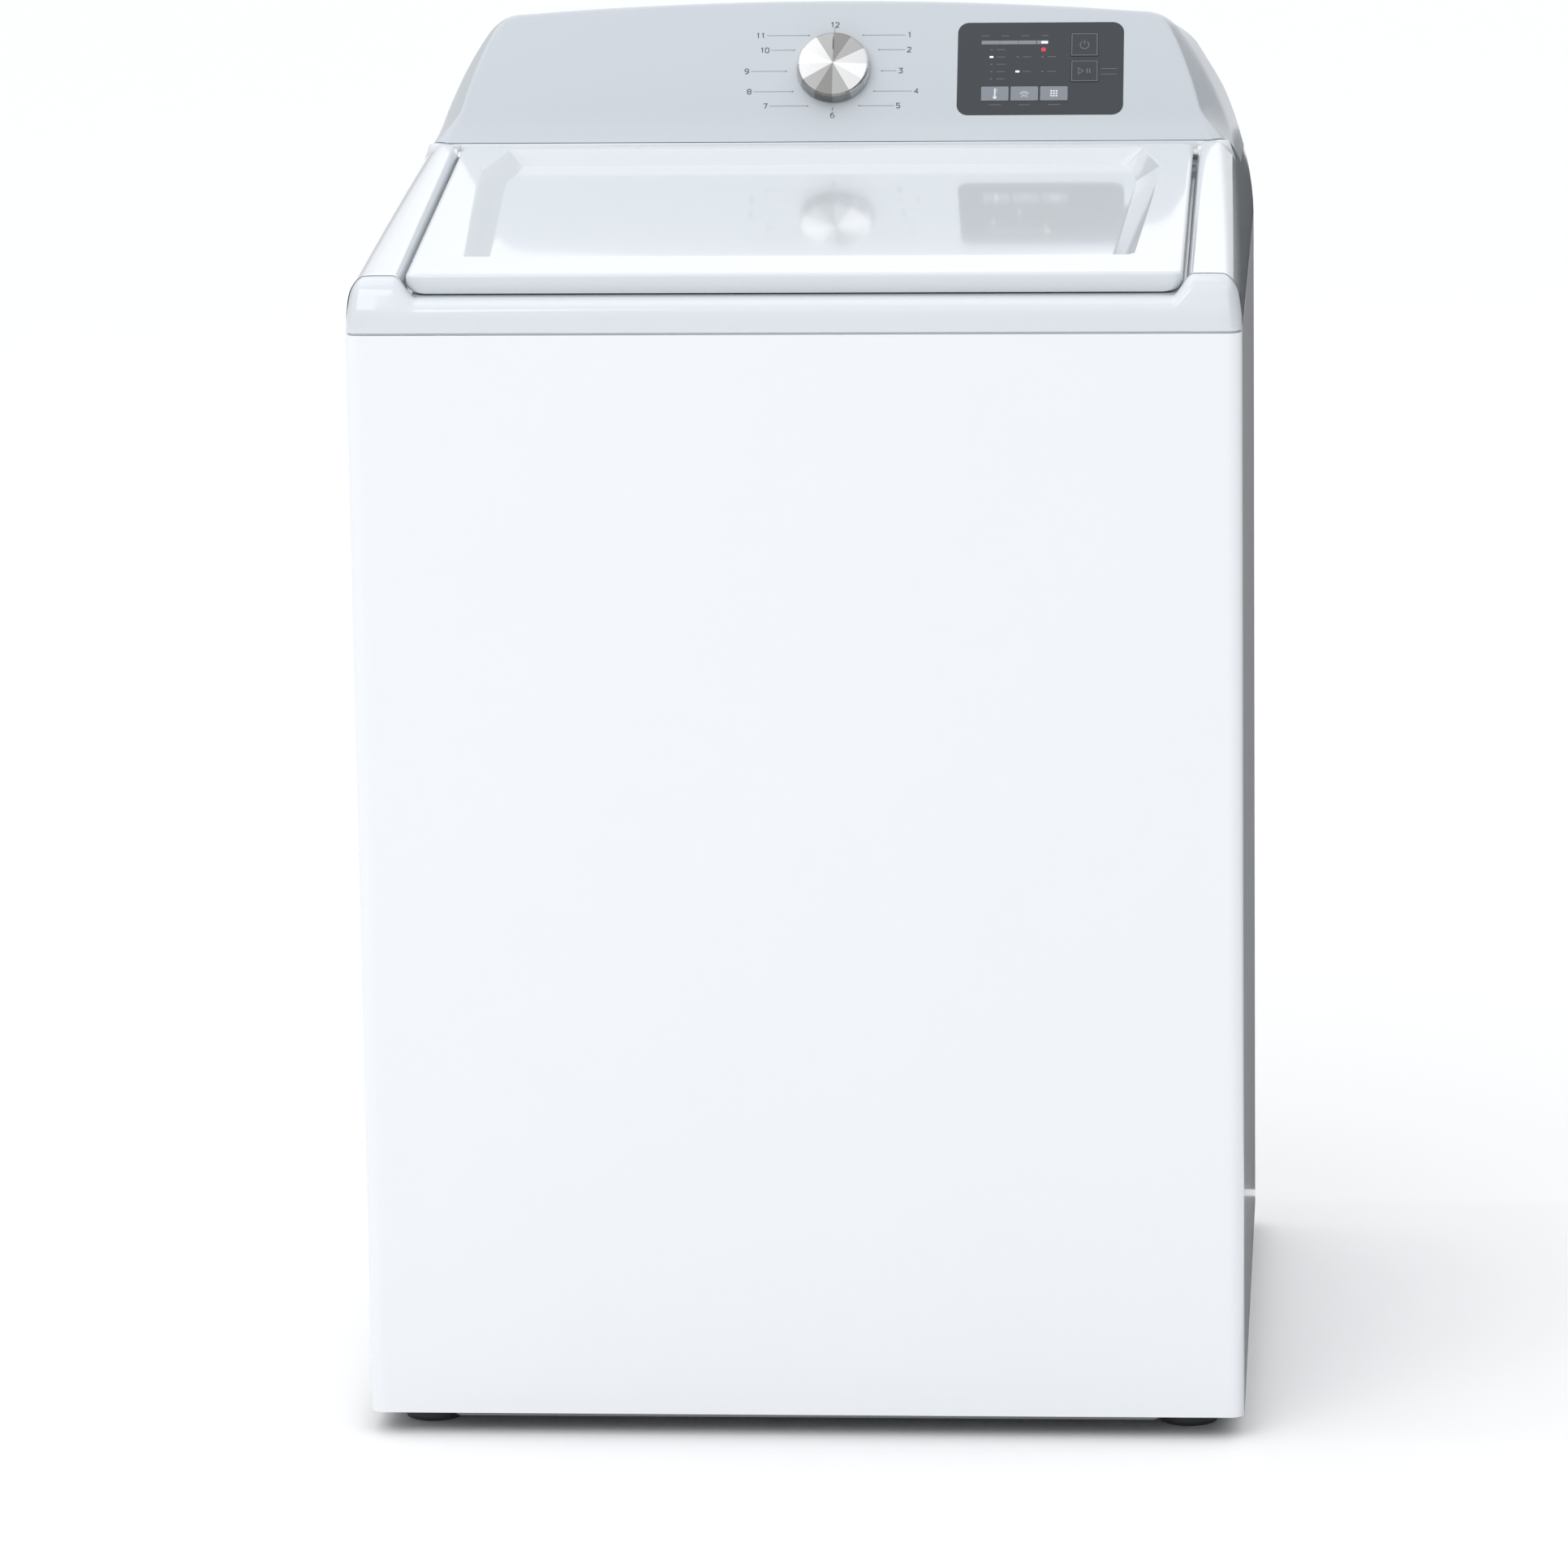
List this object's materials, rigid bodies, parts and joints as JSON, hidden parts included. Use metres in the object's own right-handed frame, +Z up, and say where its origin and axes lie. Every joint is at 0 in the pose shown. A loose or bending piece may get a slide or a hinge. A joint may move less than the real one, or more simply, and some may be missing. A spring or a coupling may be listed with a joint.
{
  "type": "top load washing machine",
  "caption": "Top load washing machine with a hinged recessed lid, sloping control console, hung tub, agitator and levelling feet.",
  "frame": {"origin": "on the floor under the centre of the whole width and depth, rear hose ports included", "axes": "+X to the machine's right seen from the front, the front faces -Y, +Z up"},
  "size_m": [0.6984, 0.69, 1.0877],
  "materials": {
    "white_enamel": "gloss",
    "top_white": "gloss",
    "console_white": "satin gloss",
    "galvanised": "satin",
    "grey_frame": "satin",
    "panel_slate": "gloss",
    "key_grey": "satin",
    "knob_metal": "brushed",
    "steel": "satin",
    "stainless": "brushed",
    "board_green": "satin",
    "black_plastic": "matt",
    "grey_plastic": "matt",
    "white_plastic": "satin",
    "tub_plastic": "satin",
    "agitator_grey": "satin gloss",
    "cast_metal": "cast",
    "motor_steel": "satin",
    "rubber_black": "matt",
    "foot_grey": "matt"
  },
  "bodies": {
    "cabinet": {"cabinet_shell": "white_enamel", "rear_panel": "galvanised", "base_frame": "grey_frame", "top_cover": "top_white", "console_housing": "console_white", "console_rear_cover": "galvanised", "rear_screws": "steel", "control_panel": "panel_slate", "control_board": "board_green", "dial_switch": "grey_plastic", "hinge_bushings": "white_plastic", "lid_lock": "black_plastic", "lid_bumpers": "rubber_black", "bleach_dispenser": "white_plastic", "fill_nozzle": "grey_plastic", "water_inlet_valve": "white_plastic", "drain_outlet": "grey_plastic", "cord_gland": "black_plastic", "suspension_rods": "steel", "rod_seats": "white_plastic", "motor_capacitor": "cast_metal", "foot_nuts": "steel"},
    "lid": {"lid_panel": "top_white", "lid_liner": "white_plastic", "lid_hinge_pins": "steel", "lid_strike": "black_plastic"},
    "knob": {"cycle_knob": "knob_metal", "knob_shaft": "steel"},
    "key_power": {"power_key": "panel_slate"},
    "key_start": {"start_key": "panel_slate"},
    "key_left": {"option_key_left": "key_grey"},
    "key_middle": {"option_key_middle": "key_grey"},
    "key_right": {"option_key_right": "key_grey"},
    "tub": {"outer_tub": "tub_plastic", "tub_ring": "white_plastic", "tub_seal": "rubber_black", "gearcase": "cast_metal", "bearings": "steel", "damper_cups": "black_plastic", "suspension_springs": "steel", "drive_motor": "motor_steel", "motor_bracket": "grey_frame", "drive_belt": "rubber_black", "shift_actuator": "black_plastic", "drain_pump": "grey_plastic", "pump_hose": "rubber_black"},
    "basket": {"wash_basket": "stainless", "balance_ring": "white_plastic", "basket_hub": "cast_metal"},
    "agitator_unit": {"agitator": "agitator_grey", "agitator_cap": "agitator_grey", "agitator_shaft": "steel"},
    "pulley_driven": {"drive_pulley": "cast_metal"},
    "pulley_motor": {"motor_pulley": "steel"},
    "impeller": {"pump_impeller": "white_plastic"},
    "foot_fl": {"foot_front_left": "foot_grey"},
    "foot_fr": {"foot_front_right": "foot_grey"},
    "foot_rl": {"foot_rear_left": "foot_grey"},
    "foot_rr": {"foot_rear_right": "foot_grey"}
  },
  "joints": [
    {"name": "lid_hinge", "type": "hinge", "parent": "cabinet", "child": "lid", "pos_m": [0, 0.09746, 0.97036], "axis": [-1, 0, 0], "range_deg": [0, 105]},
    {"name": "knob_turn", "type": "hinge", "parent": "cabinet", "child": "knob", "pos_m": [0.003, 0.15263, 1.0343], "axis": [0, -0.829, 0.5592], "continuous": true},
    {"name": "tub_float", "type": "slide", "parent": "cabinet", "child": "tub", "axis": [0, 0, 1], "range_m": [-0.015, 0.01], "stiffness_N_per_m": 16000, "springref_m": 0.02, "deforming": ["suspension_springs"]},
    {"name": "basket_spin", "type": "hinge", "parent": "tub", "child": "basket", "pos_m": [0, -0.022, 0.25], "axis": [0, 0, 1], "continuous": true},
    {"name": "agitator_turn", "type": "hinge", "parent": "tub", "child": "agitator_unit", "pos_m": [0, -0.022, 0.25], "axis": [0, 0, 1], "continuous": true},
    {"name": "drive_pulley_turn", "type": "hinge", "parent": "tub", "child": "pulley_driven", "pos_m": [0, -0.022, 0.117], "axis": [0, 0, 1], "continuous": true},
    {"name": "motor_turn", "type": "hinge", "parent": "tub", "child": "pulley_motor", "pos_m": [0.118, 0.096, 0.117], "axis": [0, 0, 1], "continuous": true},
    {"name": "pump_turn", "type": "hinge", "parent": "tub", "child": "impeller", "pos_m": [-0.175, -0.117, 0.2], "axis": [0, 0, 1], "continuous": true},
    {"name": "press_power", "type": "slide", "parent": "cabinet", "child": "key_power", "axis": [0, 0.829, -0.5592], "range_m": [0, 0.0008], "stiffness_N_per_m": 1500},
    {"name": "press_start", "type": "slide", "parent": "cabinet", "child": "key_start", "axis": [0, 0.829, -0.5592], "range_m": [0, 0.0008], "stiffness_N_per_m": 1500},
    {"name": "press_left", "type": "slide", "parent": "cabinet", "child": "key_left", "axis": [0, 0.829, -0.5592], "range_m": [0, 0.0008], "stiffness_N_per_m": 1500},
    {"name": "press_middle", "type": "slide", "parent": "cabinet", "child": "key_middle", "axis": [0, 0.829, -0.5592], "range_m": [0, 0.0008], "stiffness_N_per_m": 1500},
    {"name": "press_right", "type": "slide", "parent": "cabinet", "child": "key_right", "axis": [0, 0.829, -0.5592], "range_m": [0, 0.0008], "stiffness_N_per_m": 1500},
    {"name": "level_fl", "type": "slide", "parent": "cabinet", "child": "foot_fl", "axis": [0, 0, -1], "range_m": [0, 0.02]},
    {"name": "level_fr", "type": "slide", "parent": "cabinet", "child": "foot_fr", "axis": [0, 0, -1], "range_m": [0, 0.02]},
    {"name": "level_rl", "type": "slide", "parent": "cabinet", "child": "foot_rl", "axis": [0, 0, -1], "range_m": [0, 0.02]},
    {"name": "level_rr", "type": "slide", "parent": "cabinet", "child": "foot_rr", "axis": [0, 0, -1], "range_m": [0, 0.02]}
  ],
  "couplings": [
    {"joint": "drive_pulley_turn", "follows": "agitator_turn", "ratio": 4},
    {"joint": "motor_turn", "follows": "agitator_turn", "ratio": 20}
  ]
}
